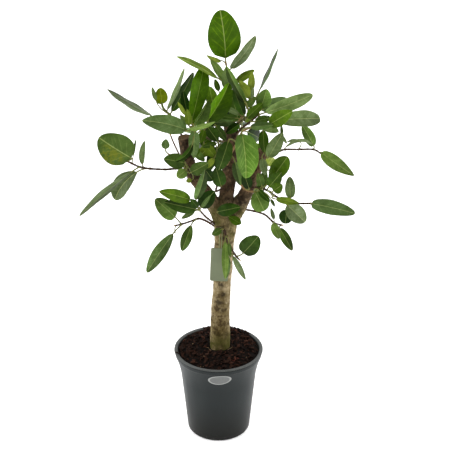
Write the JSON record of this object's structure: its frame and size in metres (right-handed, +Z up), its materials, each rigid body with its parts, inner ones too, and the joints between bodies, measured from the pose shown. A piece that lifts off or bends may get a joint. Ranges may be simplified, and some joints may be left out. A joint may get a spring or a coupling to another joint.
{
  "type": "potted ficus tree",
  "caption": "Small ficus audrey tree: a bare trunk that forks into pruned limbs, thin leafy twigs with broad oval leaves, in a dark round nursery pot of bark mix.",
  "frame": {"origin": "centre of the flat underside of the pot, on the surface that it stands on", "axes": "+Z up along the trunk, -Y towards the side that the picture shows, +X to that side's right"},
  "size_m": [0.67, 0.501, 1.148],
  "materials": {
    "pot": "satin",
    "soil": "rough",
    "bark": "rough",
    "leaves": "satin",
    "label": "satin",
    "sticker": "satin"
  },
  "bodies": {
    "root": {"pot": "pot", "soil": "soil", "trunk": "bark", "label": "label", "sticker": "sticker", "shoot_left_far": "leaves", "shoot_left_upper": "leaves", "shoot_left_crown": "leaves", "shoot_left_front": "leaves", "shoot_left_mid": "leaves", "shoot_left_low": "leaves", "shoot_front_hanging": "leaves", "shoot_trunk_front": "leaves", "shoot_centre_low": "leaves", "shoot_centre_left": "leaves", "shoot_centre_front": "leaves", "shoot_centre_right_low": "leaves", "shoot_top": "leaves", "shoot_centre_right": "leaves", "shoot_right_crown": "leaves", "shoot_right_mid": "leaves", "shoot_right_upper": "leaves", "shoot_right_lower": "leaves", "shoot_right_low": "leaves", "shoot_back_low": "leaves", "shoot_back_left": "leaves", "shoot_back_centre": "leaves", "shoot_back_right": "leaves"}
  },
  "joints": []
}
